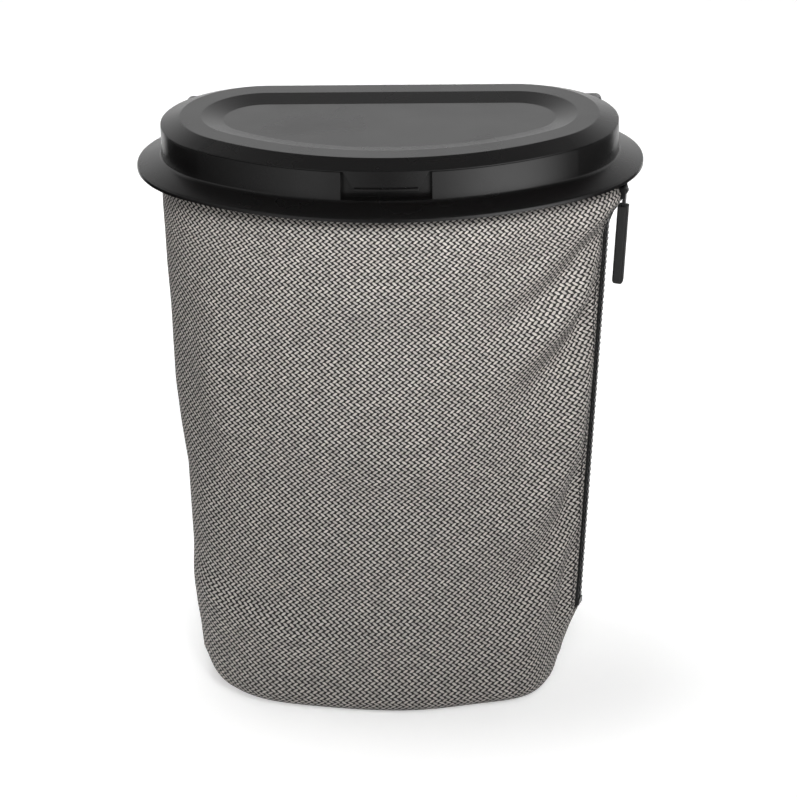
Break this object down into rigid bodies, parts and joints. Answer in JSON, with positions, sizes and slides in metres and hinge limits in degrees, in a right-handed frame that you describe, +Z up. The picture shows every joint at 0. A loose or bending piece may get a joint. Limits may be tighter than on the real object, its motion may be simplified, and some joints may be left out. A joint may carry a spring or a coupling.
{
  "type": "car trash can",
  "caption": "Soft-sided waste bin for a car: D-shaped plastic rim with a hinged lid, woven fabric bag with a side zip, and a wide hanging clip at the back.",
  "frame": {"origin": "on the floor, below the middle of the whole object, clip included", "axes": "+Z up, -Y towards the front with the thumb notch, +X towards the zip"},
  "size_m": [0.24, 0.163, 0.29],
  "materials": {
    "black_plastic": "fine satin grain",
    "strip_plastic": "matte",
    "pin_steel": "drawn wire",
    "woven_fabric": "coated weave",
    "zip_tape": "woven tape",
    "zip_plastic": "moulded",
    "black_metal": "black lacquer",
    "grip_rubber": "matte"
  },
  "bodies": {
    "bin": {"rim_frame": "black_plastic", "rear_clip": "black_plastic", "hinge_pin_left": "pin_steel", "hinge_pin_right": "pin_steel", "hem_strip": "strip_plastic", "bag_body_panel": "woven_fabric", "bag_base_panel": "woven_fabric", "zipper_tape_front": "zip_tape", "zipper_tape_back": "zip_tape", "zipper_teeth_front": "zip_plastic", "zipper_teeth_back": "zip_plastic", "top_stop_front": "zip_plastic", "top_stop_back": "zip_plastic", "bottom_stop": "zip_plastic"},
    "lid": {"lid": "black_plastic"},
    "slider": {"zipper_slider": "black_metal"},
    "puller": {"pull_link": "black_metal", "pull_grip": "grip_rubber"}
  },
  "joints": [
    {"name": "lid_hinge", "type": "hinge", "parent": "bin", "child": "lid", "pos_m": [0, 0.0536, 0.2795], "axis": [-1, 0, 0], "range_deg": [0, 110]},
    {"name": "slider_travel", "type": "slide", "parent": "bin", "child": "slider", "axis": [-0.0731, 0.0182, -0.9972], "range_m": [0, 0.2], "deforming": ["zipper_teeth_front", "zipper_teeth_back"]},
    {"name": "puller_swing", "type": "hinge", "parent": "slider", "child": "puller", "pos_m": [0.11112, -0.01312, 0.25545], "axis": [-0.2419, -0.9703, 0], "range_deg": [0, 95]}
  ]
}
